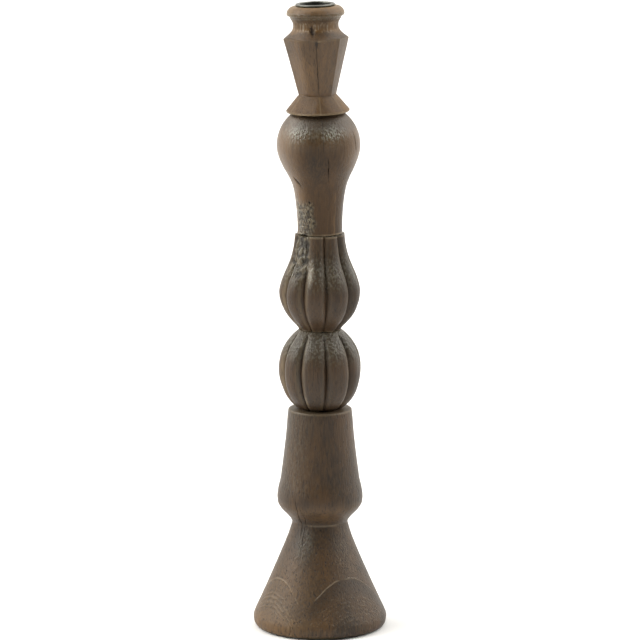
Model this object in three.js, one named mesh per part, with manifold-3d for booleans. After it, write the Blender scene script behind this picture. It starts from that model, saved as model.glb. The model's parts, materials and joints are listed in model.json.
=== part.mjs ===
// Wooden candle holder: a turned and carved candlestick with a steel candle cup in its top.
// Lengths are millimetres, +Z is up and the front faces -Y. Angles are degrees about the upright
// axis, from the front towards +X. Each wooden section is drawn from its own lower face upwards.

import * as THREE from 'three';
import { mergeVertices } from 'three/addons/utils/BufferGeometryUtils.js';
import Module from 'manifold-3d';

const wasm = await Module();
wasm.setup();

// Each section's outline is a chain of stretches. A RISE is the height of one stretch, and the
// DIAMETER named after it is the width at its upper end. A CURVE places the one point that pulls
// the stretch into a curve: its share of the way across and its share of the way up.

// Fits between the pieces
const GLUE_LINE = 0.3;          // between two glued faces
const LEAN_LINE = 0.45;         // between two glued faces where the upper piece leans
const SEAT_LINE = 0.3;          // between the cup's rim and the wood
const CUP_CLEARANCE = 0.35;     // round the cup in its bore, each side
const CUP_FLOOR_SPACE = 1;      // under the cup's floor
const DOWEL_CLEARANCE = 0.3;    // round a dowel in its hole, each side
const DOWEL_END_SPACE = 1.5;    // beyond each end of a dowel
const PAD_CLEARANCE = 0.4;      // round the pad in its recess, each side

// Lean of the hand-made joints, towards -X
const NECK_LEAN = 0.9;          // bulb on the gourd
const SOCKET_LEAN = 0.6;        // socket block on the bulb

// Candle cup
const CANDLE_DIAMETER = 22;     // the common dinner candle
const CANDLE_EASE = 0.3;        // round the candle, each side
const CUP_WALL = 0.8;
const CUP_DEPTH = 24;           // rim to floor, inside
const CUP_FLANGE = 2.2;         // how far the rim reaches over the wood
const CUP_RIM_HEIGHT = 1.4;

// Socket block: skirt, eight-sided taper, shoulder, bead and crown
const SKIRT_DIAMETER = 46;
const SKIRT_EDGE = 1.7;         // rounding of the skirt's rim
const SKIRT_RISE = 11;
const SOCKET_WAIST_DIAMETER = 27.4;
const TAPER_RISE = 40.9;
const SHOULDER_DIAMETER = 47.6;
const SHOULDER_RISE = 9.1;
const SHOULDER_CURVE = [1, 0.49];
const COVE_DIAMETER = 32.6;
const BEAD_FOOT_RISE = 5.3;     // hollow half of the way from the cove to the bead
const BEAD_FOOT_CURVE = [0, 0.66];
const BEAD_RISE = 3.2;          // round half
const BEAD_CURVE = [1, 0.4];
const BEAD_DIAMETER = 41.8;
const CROWN_RISE = 5.7;
const CROWN_LAND = 2.3;         // flat top round the bore
const SIDES = 8;
const RIDGE_ANGLE = 5;          // one ridge stands this far from the front
const MINOR_RIDGE = 0.94;       // every other ridge is this much of the full radius
const SKIRT_RUN_OUT = 1.16;     // the flats end where they would be this much wider than the rim

// Bulb and neck
const NECK_DIAMETER = 32.6;
const NECK_RISE = 42;
const NECK_CURVE = [0, 0.72];
const BULB_FOOT_DIAMETER = 45.4;
const BULB_RISE = 22;
const BULB_CURVE = [1, 0.64];
const BULB_DIAMETER = 60.6;     // also the stock that the gourd and the melon are turned from
const BULB_CROWN_RISE = 24;
const BULB_CROWN_CURVE = [0, 0.61];
const BULB_TOP_DIAMETER = 37.2;

// Ribbed gourd: waist, belly, flank and throat
const WAIST_DIAMETER = 30.8;    // where gourd and melon meet
const GOURD_WAIST_RISE = 5.4;
const GOURD_WAIST_CURVE = [0.21, 0.36];
const GOURD_FOOT_DIAMETER = 40;
const GOURD_BELLY_RISE = 21.6;
const GOURD_BELLY_CURVE = [1, 0.44];
const GOURD_CARVED_BACK = 0.8;  // how much the ribs' crests lose from the stock
const GOURD_FLANK_RISE = 19;
const GOURD_FLANK_CURVE = [0, 0.35];
const GOURD_FLANK_DIAMETER = 48;
const GOURD_THROAT_RISE = 24.4;
const GOURD_THROAT_CURVE = [0.88, 0.44];
const GOURD_TOP_DIAMETER = 36.4;

// Ribbed melon: belly and crown
const MELON_BOTTOM_DIAMETER = 31.8;
const MELON_BELLY_RISE = 29.2;
const MELON_BELLY_CURVE = [1, 0.32];
const MELON_CARVED_BACK = 0.2;
const MELON_CROWN_RISE = 29.3;
const MELON_CROWN_CURVE = [0, 0.61];
const MELON_COLLAR = 4.5;       // the grooves fade out over this height under the waist

// Ribs of both
const RIBS = 10;
const RIB_DEPTH = 0.08;         // groove depth as a share of the radius
const RIB_FLATNESS = 2.5;       // higher gives flatter ribs with narrower grooves
const GROOVE_ANGLE = 11;        // one groove stands this far from the front

// Base, foot and drum in one turning: toe, cone, cove, undercut and drum
const SOLE_DIAMETER = 92;
const TOE_RISE = 6.8;
const FOOT_DIAMETER = 97.8;
const TOE_BACK_RISE = 9;
const TOE_BACK_CURVE = [0, 0.16];
const CONE_DIAMETER = 90.8;     // where the toe runs into the cone
const CONE_RISE = 61.8;
const CONE_CURVE = [0.955, 0.867];
const BASE_WAIST_DIAMETER = 40.8;
const BASE_COVE_RISE = 7;
const BASE_COVE_CURVE = [0.13, 0.38];
const UNDERCUT_DIAMETER = 50.8;
const UNDERCUT_RISE = 9.4;
const UNDERCUT_CURVE = [1, 0.58];
const DRUM_DIAMETER = 62.4;
const DRUM_RISE = 66.7;
const DRUM_CURVE = [0.69, 0.55];
const DRUM_TOP_DIAMETER = 46.6;
const DRUM_EDGE = 1.8;          // rounding of the drum's upper edge

// Pad under the foot
const PAD_THICKNESS = 2;
const PAD_PROUD = 1;            // how far it stands below the wood
const PAD_DIAMETER = 80;

// Dowels in the glued joints, half in each piece
const DOWEL_DIAMETER = 10;
const DOWEL_LENGTH = 40;
const DOWEL_CHAMFER = 1.2;

// Finishes
const FELT = { color: 0x2f2d2a, roughness: 0.95, metalness: 0 };
const DOWEL_WOOD = { color: 0xb59a72, roughness: 0.7, metalness: 0 };
const DARK_WOOD = { color: 0x5a4c3f, roughness: 0.5, metalness: 0 };
const WARM_WOOD = { color: 0x6f5a47, roughness: 0.45, metalness: 0 };
const CUP_STEEL = { color: 0x55544f, roughness: 0.4, metalness: 0.9 };

// Fineness of the round surfaces
const ROUND_SIDES = 40;
const RIB_SIDES = 6;            // flats across one rib
const DOWEL_SIDES = 20;
const CURVE_STEPS = 4;
const LONG_CURVE_STEPS = 8;
const CUP_CURVE_STEPS = 2;

// Sizes that follow from those above
const BORE_DIAMETER = CANDLE_DIAMETER + 2 * CANDLE_EASE;
const CUP_DIAMETER = BORE_DIAMETER + 2 * CUP_WALL;
const CUP_BORE_DIAMETER = CUP_DIAMETER + 2 * CUP_CLEARANCE;
const SOCKET_WAIST_HEIGHT = SKIRT_EDGE + SKIRT_RISE;
const BEAD_HEIGHT = SOCKET_WAIST_HEIGHT + TAPER_RISE + SHOULDER_RISE + BEAD_FOOT_RISE + BEAD_RISE;
const SOCKET_HEIGHT = BEAD_HEIGHT + CROWN_RISE;
const BULB_HEIGHT = NECK_RISE + BULB_RISE + BULB_CROWN_RISE;
const GOURD_DIAMETER = BULB_DIAMETER - GOURD_CARVED_BACK;
const GOURD_HEIGHT = GOURD_WAIST_RISE + GOURD_BELLY_RISE + GOURD_FLANK_RISE + GOURD_THROAT_RISE;
const MELON_DIAMETER = BULB_DIAMETER - MELON_CARVED_BACK;
const MELON_HEIGHT = MELON_BELLY_RISE + MELON_CROWN_RISE;
const FOOT_HEIGHT = TOE_RISE + TOE_BACK_RISE + CONE_RISE;
const BASE_HEIGHT = FOOT_HEIGHT + BASE_COVE_RISE + UNDERCUT_RISE + DRUM_RISE + DRUM_EDGE;
const DOWEL_HALF = DOWEL_LENGTH / 2;
const HOLE_DIAMETER = DOWEL_DIAMETER + 2 * DOWEL_CLEARANCE;
const HOLE_DEPTH = DOWEL_HALF + DOWEL_END_SPACE;

const CUT_OVERLAP = 2;          // how far a cutter runs past the face it opens
const WELD_DISTANCE = 1e-4;     // vertices this close are one
const QUARTER_TURN = Math.PI / 2;
const radians = THREE.MathUtils.degToRad;

// Starts an outline on the axis and runs it out along the lower face
function outlineFrom(diameter) {
  const outline = new THREE.Path();
  outline.moveTo(0, 0);
  outline.lineTo(diameter / 2, 0);
  return outline;
}

function straight(outline, diameter, rise) {
  outline.lineTo(diameter / 2, outline.currentPoint.y + rise);
}

function curved(outline, diameter, rise, [across, up]) {
  const { x, y } = outline.currentPoint;
  const radius = diameter / 2;
  outline.quadraticCurveTo(x + across * (radius - x), y + up * rise, radius, y + rise);
}

// Runs an outline in along the upper face to the axis
function closed(outline) {
  outline.lineTo(0, outline.currentPoint.y);
  return outline;
}

// Turns an outline of radius and height about the upright axis
function turned(outline, steps, sides, startAngle = 0) {
  const points = outline.getPoints(steps);
  const geometry = new THREE.LatheGeometry(points, sides, radians(startAngle));
  geometry.rotateX(QUARTER_TURN);
  return welded(geometry);
}

// Joins vertices that lie together and drops the triangles that have shrunk to a line
function welded(geometry) {
  geometry.deleteAttribute('normal');
  geometry.deleteAttribute('uv');
  const joined = mergeVertices(geometry, WELD_DISTANCE);
  const corners = joined.getIndex().array;
  const kept = [];
  for (let i = 0; i < corners.length; i += 3) {
    const [a, b, c] = corners.slice(i, i + 3);
    if (a !== b && b !== c && c !== a) kept.push(a, b, c);
  }
  joined.setIndex(kept);
  return joined;
}

function solid(geometry) {
  const mesh = new wasm.Mesh({
    numProp: 3,
    vertProperties: new Float32Array(geometry.getAttribute('position').array),
    triVerts: new Uint32Array(geometry.getIndex().array),
  });
  return new wasm.Manifold(mesh);
}

function geometryOf(body) {
  const mesh = body.getMesh();
  const geometry = new THREE.BufferGeometry();
  geometry.setAttribute('position', new THREE.BufferAttribute(mesh.vertProperties, 3));
  geometry.setIndex(new THREE.BufferAttribute(mesh.triVerts, 1));
  return geometry;
}

function cut(body, cutters) {
  const left = cutters.reduce((rest, cutter) => rest.subtract(solid(cutter)), body);
  return geometryOf(left);
}

// A straight cylinder that stands on the lower of two heights
function rod(diameter, low, high, sides) {
  const outline = outlineFrom(diameter);
  straight(outline, diameter, high - low);
  const geometry = turned(closed(outline), 1, sides);
  return geometry.translate(0, 0, low);
}

// Hole for half a dowel, from a piece's lower face upwards
function holeInFoot() {
  return rod(HOLE_DIAMETER, -CUT_OVERLAP, HOLE_DEPTH, DOWEL_SIDES);
}

// Hole for half a dowel, from a piece's upper face downwards. Where the piece above leans, the
// hole leans with its dowel about the point that the piece is set on.
function holeInTop(height, line, lean = 0) {
  const hole = rod(HOLE_DIAMETER, -HOLE_DEPTH, CUT_OVERLAP, DOWEL_SIDES);
  hole.rotateY(-radians(lean));
  return hole.translate(0, 0, height + line);
}

// Angle of a vertex about the upright axis, from the given angle on
function angleFrom(startAngle, place, i) {
  return Math.atan2(place.getX(i), -place.getY(i)) - radians(startAngle);
}

// Presses the grooves between the ribs into a turned body. They fade out below fadeTop.
function ribbed(geometry, fadeTop = Infinity) {
  const place = geometry.getAttribute('position');
  const ribAngle = 2 * Math.PI / RIBS;
  for (let i = 0; i < place.count; i += 1) {
    const turn = THREE.MathUtils.euclideanModulo(angleFrom(GROOVE_ANGLE, place, i), ribAngle) / ribAngle;
    const offCrest = Math.abs(2 * turn - 1);
    const fade = THREE.MathUtils.clamp((fadeTop - place.getZ(i)) / MELON_COLLAR, 0, 1);
    const share = 1 - RIB_DEPTH * fade * offCrest ** RIB_FLATNESS;
    place.setX(i, place.getX(i) * share);
    place.setY(i, place.getY(i) * share);
  }
  return geometry;
}

// Drawn from the underside of its rim
function candleCup() {
  const inside = BORE_DIAMETER / 2;
  const outside = CUP_DIAMETER / 2;
  const roll = CUP_RIM_HEIGHT / 2;
  const rollCentre = outside + CUP_FLANGE - roll;
  const floor = CUP_RIM_HEIGHT - CUP_DEPTH;
  const underside = floor - CUP_WALL;
  const outline = new THREE.Path();
  outline.moveTo(0, underside);
  outline.lineTo(outside - CUP_WALL, underside);
  outline.quadraticCurveTo(outside, underside, outside, floor);
  outline.lineTo(outside, 0);
  outline.lineTo(rollCentre, 0);
  outline.absarc(rollCentre, roll, roll, -QUARTER_TURN, QUARTER_TURN, false);
  outline.lineTo(inside + roll, CUP_RIM_HEIGHT);
  outline.quadraticCurveTo(inside, CUP_RIM_HEIGHT, inside, roll);
  outline.lineTo(inside, floor);
  return turned(closed(outline), CUP_CURVE_STEPS, ROUND_SIDES);
}

// The socket block as it comes off the lathe, before its flats are cut
function socketBlank() {
  const bead = BEAD_DIAMETER / 2;
  const land = CUP_BORE_DIAMETER / 2 + CROWN_LAND;
  const outline = outlineFrom(SKIRT_DIAMETER - 2 * SKIRT_EDGE);
  curved(outline, SKIRT_DIAMETER, SKIRT_EDGE, [1, 0]);
  straight(outline, SOCKET_WAIST_DIAMETER, SKIRT_RISE);
  straight(outline, SHOULDER_DIAMETER, TAPER_RISE);
  curved(outline, COVE_DIAMETER, SHOULDER_RISE, SHOULDER_CURVE);
  curved(outline, (COVE_DIAMETER + BEAD_DIAMETER) / 2, BEAD_FOOT_RISE, BEAD_FOOT_CURVE);
  curved(outline, BEAD_DIAMETER, BEAD_RISE, BEAD_CURVE);
  outline.absellipse(land, BEAD_HEIGHT, bead - land, CROWN_RISE, 0, QUARTER_TURN);
  return turned(closed(outline), CURVE_STEPS, ROUND_SIDES, RIDGE_ANGLE);
}

// Two eight-sided tapers set waist to waist. Below, the flats run out before they reach the round
// rim of the skirt; above, they run out in the turned shoulder.
function socketFacets() {
  const taper = (SHOULDER_DIAMETER - SOCKET_WAIST_DIAMETER) / TAPER_RISE;
  const upperRise = SOCKET_HEIGHT - SOCKET_WAIST_HEIGHT + CUT_OVERLAP;
  const outline = outlineFrom(SKIRT_RUN_OUT * SKIRT_DIAMETER);
  straight(outline, SOCKET_WAIST_DIAMETER, SOCKET_WAIST_HEIGHT);
  straight(outline, SOCKET_WAIST_DIAMETER + taper * upperRise, upperRise);
  const facets = turned(closed(outline), 1, SIDES, RIDGE_ANGLE);
  const place = facets.getAttribute('position');
  const sideAngle = 2 * Math.PI / SIDES;
  for (let i = 0; i < place.count; i += 1) {
    const ridge = Math.round(angleFrom(RIDGE_ANGLE, place, i) / sideAngle);
    const share = ridge % 2 === 0 ? 1 : MINOR_RIDGE;
    place.setX(i, place.getX(i) * share);
    place.setY(i, place.getY(i) * share);
  }
  return facets;
}

function socketBlock() {
  const cupLength = CUP_DEPTH - CUP_RIM_HEIGHT + CUP_WALL;
  const boreFloor = SOCKET_HEIGHT + SEAT_LINE - cupLength - CUP_FLOOR_SPACE;
  const bore = rod(CUP_BORE_DIAMETER, boreFloor, SOCKET_HEIGHT + CUT_OVERLAP, ROUND_SIDES);
  const faceted = solid(socketBlank()).intersect(solid(socketFacets()));
  return cut(faceted, [bore, holeInFoot()]);
}

function bulbNeck() {
  const outline = outlineFrom(NECK_DIAMETER);
  curved(outline, BULB_FOOT_DIAMETER, NECK_RISE, NECK_CURVE);
  curved(outline, BULB_DIAMETER, BULB_RISE, BULB_CURVE);
  curved(outline, BULB_TOP_DIAMETER, BULB_CROWN_RISE, BULB_CROWN_CURVE);
  const body = solid(turned(closed(outline), CURVE_STEPS, ROUND_SIDES));
  return cut(body, [holeInFoot(), holeInTop(BULB_HEIGHT, LEAN_LINE, SOCKET_LEAN)]);
}

function ribbedGourd() {
  const outline = outlineFrom(WAIST_DIAMETER);
  curved(outline, GOURD_FOOT_DIAMETER, GOURD_WAIST_RISE, GOURD_WAIST_CURVE);
  curved(outline, GOURD_DIAMETER, GOURD_BELLY_RISE, GOURD_BELLY_CURVE);
  curved(outline, GOURD_FLANK_DIAMETER, GOURD_FLANK_RISE, GOURD_FLANK_CURVE);
  curved(outline, GOURD_TOP_DIAMETER, GOURD_THROAT_RISE, GOURD_THROAT_CURVE);
  const plain = turned(closed(outline), CURVE_STEPS, RIBS * RIB_SIDES, GROOVE_ANGLE);
  const body = solid(ribbed(plain));
  return cut(body, [holeInFoot(), holeInTop(GOURD_HEIGHT, LEAN_LINE, NECK_LEAN)]);
}

function ribbedMelon() {
  const outline = outlineFrom(MELON_BOTTOM_DIAMETER);
  curved(outline, MELON_DIAMETER, MELON_BELLY_RISE, MELON_BELLY_CURVE);
  curved(outline, WAIST_DIAMETER, MELON_CROWN_RISE, MELON_CROWN_CURVE);
  const plain = turned(closed(outline), LONG_CURVE_STEPS, RIBS * RIB_SIDES, GROOVE_ANGLE);
  const body = solid(ribbed(plain, MELON_HEIGHT));
  return cut(body, [holeInFoot(), holeInTop(MELON_HEIGHT, GLUE_LINE)]);
}

function base() {
  const outline = outlineFrom(SOLE_DIAMETER);
  curved(outline, FOOT_DIAMETER, TOE_RISE, [1, 0]);
  curved(outline, CONE_DIAMETER, TOE_BACK_RISE, TOE_BACK_CURVE);
  curved(outline, BASE_WAIST_DIAMETER, CONE_RISE, CONE_CURVE);
  curved(outline, UNDERCUT_DIAMETER, BASE_COVE_RISE, BASE_COVE_CURVE);
  curved(outline, DRUM_DIAMETER, UNDERCUT_RISE, UNDERCUT_CURVE);
  curved(outline, DRUM_TOP_DIAMETER, DRUM_RISE, DRUM_CURVE);
  curved(outline, DRUM_TOP_DIAMETER - 2 * DRUM_EDGE, DRUM_EDGE, [0, 1]);
  const body = solid(turned(closed(outline), CURVE_STEPS, ROUND_SIDES));
  const recessDepth = PAD_THICKNESS - PAD_PROUD + GLUE_LINE;
  const recess = rod(PAD_DIAMETER + 2 * PAD_CLEARANCE, -CUT_OVERLAP, recessDepth, ROUND_SIDES);
  return cut(body, [recess, holeInTop(BASE_HEIGHT, GLUE_LINE)]);
}

function basePad() {
  return rod(PAD_DIAMETER, 0, PAD_THICKNESS, ROUND_SIDES);
}

// Centred on the joint that it bridges
function dowel() {
  const endDiameter = DOWEL_DIAMETER - 2 * DOWEL_CHAMFER;
  const outline = outlineFrom(endDiameter);
  straight(outline, DOWEL_DIAMETER, DOWEL_CHAMFER);
  straight(outline, DOWEL_DIAMETER, DOWEL_LENGTH - 2 * DOWEL_CHAMFER);
  straight(outline, endDiameter, DOWEL_CHAMFER);
  const geometry = turned(closed(outline), 1, DOWEL_SIDES);
  return geometry.translate(0, 0, -DOWEL_HALF);
}

function piece(name, geometry, finish, height) {
  const faceted = geometry.toNonIndexed();
  faceted.computeVertexNormals();
  const mesh = new THREE.Mesh(faceted, new THREE.MeshStandardMaterial(finish));
  mesh.name = name;
  mesh.position.z = height;
  return mesh;
}

// A group that leans on the piece below it
function leaning(height, lean) {
  const group = new THREE.Group();
  group.position.z = height;
  group.rotation.y = -radians(lean);
  return group;
}

const melonSeat = PAD_PROUD + BASE_HEIGHT + GLUE_LINE;
const gourdSeat = melonSeat + MELON_HEIGHT + GLUE_LINE;
const neckSeat = gourdSeat + GOURD_HEIGHT + LEAN_LINE;
const socketSeat = BULB_HEIGHT + LEAN_LINE;

const holder = new THREE.Group();
holder.add(piece('base_pad', basePad(), FELT, 0));
holder.add(piece('base', base(), DARK_WOOD, PAD_PROUD));
holder.add(piece('base_dowel', dowel(), DOWEL_WOOD, melonSeat));
holder.add(piece('ribbed_melon', ribbedMelon(), DARK_WOOD, melonSeat));
holder.add(piece('waist_dowel', dowel(), DOWEL_WOOD, gourdSeat));
holder.add(piece('ribbed_gourd', ribbedGourd(), DARK_WOOD, gourdSeat));

const upperStem = leaning(neckSeat, NECK_LEAN);
upperStem.add(piece('neck_dowel', dowel(), DOWEL_WOOD, 0));
upperStem.add(piece('bulb_neck', bulbNeck(), DARK_WOOD, 0));
holder.add(upperStem);

const socket = leaning(socketSeat, SOCKET_LEAN);
socket.add(piece('socket_dowel', dowel(), DOWEL_WOOD, 0));
socket.add(piece('socket_block', socketBlock(), WARM_WOOD, 0));
socket.add(piece('candle_cup', candleCup(), CUP_STEEL, SOCKET_HEIGHT + SEAT_LINE));
upperStem.add(socket);

export default holder;
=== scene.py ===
# Dark wooden candle holder with a steel candle cup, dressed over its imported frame.
# Lengths are metres, +Z is up and the front faces -Y. An angle runs round the upright axis of a
# piece, from the front towards +X. Heights are above the table where a comment doesn't say otherwise.

import json
import math

import bpy
import numpy as np
from mathutils import Matrix, Vector, noise
from mathutils.bvhtree import BVHTree

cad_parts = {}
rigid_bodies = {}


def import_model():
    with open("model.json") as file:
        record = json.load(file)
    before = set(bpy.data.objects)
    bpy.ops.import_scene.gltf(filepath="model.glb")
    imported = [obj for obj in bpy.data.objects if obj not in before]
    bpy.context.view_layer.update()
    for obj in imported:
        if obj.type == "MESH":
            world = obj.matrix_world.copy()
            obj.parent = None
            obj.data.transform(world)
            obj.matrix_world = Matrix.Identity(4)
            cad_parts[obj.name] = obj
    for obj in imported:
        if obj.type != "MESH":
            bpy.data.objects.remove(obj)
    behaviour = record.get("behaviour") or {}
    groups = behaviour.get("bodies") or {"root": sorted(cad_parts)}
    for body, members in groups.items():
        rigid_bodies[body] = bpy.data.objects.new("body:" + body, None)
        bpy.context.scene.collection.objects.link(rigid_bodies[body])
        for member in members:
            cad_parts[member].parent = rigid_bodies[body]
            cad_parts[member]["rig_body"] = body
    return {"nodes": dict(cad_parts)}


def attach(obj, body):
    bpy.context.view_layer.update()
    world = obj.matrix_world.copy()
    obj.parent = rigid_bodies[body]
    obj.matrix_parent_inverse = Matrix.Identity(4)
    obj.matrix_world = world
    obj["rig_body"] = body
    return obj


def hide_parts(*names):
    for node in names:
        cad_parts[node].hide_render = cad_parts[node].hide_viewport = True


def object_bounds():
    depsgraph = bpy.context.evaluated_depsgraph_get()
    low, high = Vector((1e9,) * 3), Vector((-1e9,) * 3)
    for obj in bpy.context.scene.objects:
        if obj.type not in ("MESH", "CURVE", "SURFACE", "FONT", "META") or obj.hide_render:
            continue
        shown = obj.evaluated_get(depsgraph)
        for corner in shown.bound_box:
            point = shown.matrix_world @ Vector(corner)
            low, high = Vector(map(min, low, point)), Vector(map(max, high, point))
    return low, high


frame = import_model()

CAD_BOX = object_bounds()
MM = 0.001
DEG = math.pi / 180
TURN = 2 * math.pi
LEFT, RIGHT = -1, 1

# How the pieces are set and carved, as in the frame
NECK_LEAN = 0.9 * DEG               # bulb, towards -X
SOCKET_LEAN = 1.5 * DEG             # socket block and cup
SOCKET_SIDES = 8
RIDGE_ANGLE = 5 * DEG               # the ridge nearest the front
SKIRT_RUN_OUT = 1.16                # the skirt's flats would reach its foot at this share of its radius
RIBS = 10
RIB_ANGLE = TURN / RIBS
GROOVE_ANGLE = 11 * DEG             # the groove nearest the front
# Depth of the grooves, share of the radius, and the power by which a rib falls from crest to groove
MELON_RIBS = 0.125, 3.5
GOURD_RIBS = 0.15, 2.5
MELON_COLLAR = 4.5 * MM             # the melon's grooves fade out over this height
CUP_WALL = 0.8 * MM
CUP_RIM_HEIGHT = 1.4 * MM
DOWEL_HOLE = 5.4 * MM, 21.6 * MM    # radius and depth
PAD_RECESS = 40.4 * MM, 1.3 * MM    # the same

# Fineness of the skins
OUTLINE_STEP = 0.5 * MM
BASE_STEP = 0.75 * MM
BASE_COLUMNS = 320
BULB_COLUMNS = 350
RIB_COLUMNS = 48                    # to one rib
RIDGE_COLUMNS = 60                  # to one side of the socket
SPLIT_COLUMNS = 40                  # extra columns beside a split
SPLIT_REACH = 3 * DEG
CUP_COLUMNS = 160
BEND_POINTS = 9                     # round a bend of the cup's steel
CORNER = 35 * DEG                   # an outline that turns by more keeps a sharp corner
SHARP_EDGE = 50 * DEG               # faces that meet at more are shaded apart
TOUCH = 0.01 * MM                   # points this close lie in one plane
ON_MERIDIAN = 0.1 * MM              # points this close to a meridian lie on it
ANGLE_DIGITS = 6                    # columns that agree so far are one


# Reading the frame

def stood_upright(node, lean):
    """A CAD piece's points, stood on the middle of its underside, its faces, and the matrix back."""
    mesh = frame["nodes"][node].data
    points = np.array([vertex.co for vertex in mesh.vertices])
    tilt = Matrix.Rotation(-lean, 3, "Y")
    stood = points @ np.array(tilt)
    underside = stood[stood[:, 2] < stood[:, 2].min() + TOUCH]
    middle = (underside.min(axis=0) + underside.max(axis=0)) / 2
    place = Matrix.Translation(tilt @ Vector(middle)) @ tilt.to_4x4()
    return stood - middle, [tuple(face.vertices) for face in mesh.polygons], place


def outer_rings(points, faces, meridian):
    """Radius and height of a piece's outline along one meridian, from its foot to its top."""
    tree = BVHTree.FromPolygons(points.tolist(), faces)
    outward = np.array([math.sin(meridian), -math.cos(meridian), 0])
    reach = points @ outward
    beside = np.abs(points[:, 0] * outward[1] - points[:, 1] * outward[0])
    on_line = points[(beside < ON_MERIDIAN) & (reach > 0)]
    rings = []
    for height in np.unique(np.round(on_line[:, 2] / TOUCH)) * TOUCH:
        radius = (on_line[np.abs(on_line[:, 2] - height) < TOUCH] @ outward).max()
        start = Vector(outward * (radius + TOUCH)) + Vector((0, 0, height))
        if tree.ray_cast(start, Vector(outward))[0] is None:
            rings.append((radius, height))
    return np.array(rings)


def faired(rings, step):
    """Points about a step apart on a smooth outline through the rings, with its sharp corners kept."""
    chord = np.diff(rings, axis=0)
    length = np.linalg.norm(chord, axis=1)
    way = chord / length[:, None]
    turn = np.arccos(np.clip((way[1:] * way[:-1]).sum(axis=1), -1, 1))
    path = [rings[:1]]
    for i in range(len(chord)):
        ends = []
        for other in (i - 1, i + 1):
            tangent = None
            if 0 <= other < len(chord) and turn[min(i, other)] < CORNER:
                tangent = way[i] * length[other] + way[other] * length[i]
                tangent = tangent / np.linalg.norm(tangent)
            ends.append(tangent)
        first, last = ends
        if first is None:
            first = way[i] if last is None else 2 * way[i] - last
        if last is None:
            last = 2 * way[i] - first
        count = max(1, round(length[i] / step))
        s = np.linspace(0, 1, count + 1)[1:, None]
        path.append(
            (2 * s**3 - 3 * s**2 + 1) * rings[i] + (3 * s**2 - 2 * s**3) * rings[i + 1]
            + length[i] * ((s**3 - 2 * s**2 + s) * first + (s**3 - s**2) * last)
        )
    return np.concatenate(path)


def cup_bore_size():
    """Radius and depth of the bore that the socket block has for the cup."""
    points, _, _ = stood_upright("socket_block", SOCKET_LEAN)
    top = points[:, 2].max()
    rim = points[points[:, 2] > top - TOUCH]
    radius = np.hypot(rim[:, 0], rim[:, 1]).min()
    wall = points[np.abs(np.hypot(points[:, 0], points[:, 1]) - radius) < TOUCH]
    return radius, top - wall[:, 2].min()


# Skins of the turned pieces

def smooth(start, whole, value):
    """Share from 0 at the start to 1 where it is whole, easing in and out."""
    share = np.clip((value - start) / (whole - start), 0, 1)
    return share * share * (3 - 2 * share)


def lumps(points, size, seed, drawn=1.0):
    """Smooth noise from -1 to 1, with lumps of about that size, drawn out so many times up the piece."""
    flat = (points * (1, 1, 1 / drawn) / size + seed).reshape(-1, 3).tolist()
    return np.array([noise.noise(point) for point in flat]).reshape(points.shape[:-1])


def columns_round(count, start, splits=()):
    """Angles round a piece, evenly spaced, with finer ones beside each split."""
    even = start + TURN * np.arange(count) / count
    fine = [np.linspace(a - SPLIT_REACH, a + SPLIT_REACH, SPLIT_COLUMNS) for a in splits]
    angles = np.mod(np.concatenate([even, *fine]), TURN)
    return np.unique(np.round(angles, ANGLE_DIGITS))


BORE_ROWS = 2                       # rows of a wooden piece's section inside each of its bores
BACK_FADE = 140 * DEG, 100 * DEG    # a mark on a flank is gone at the first angle, whole at the second


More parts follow.
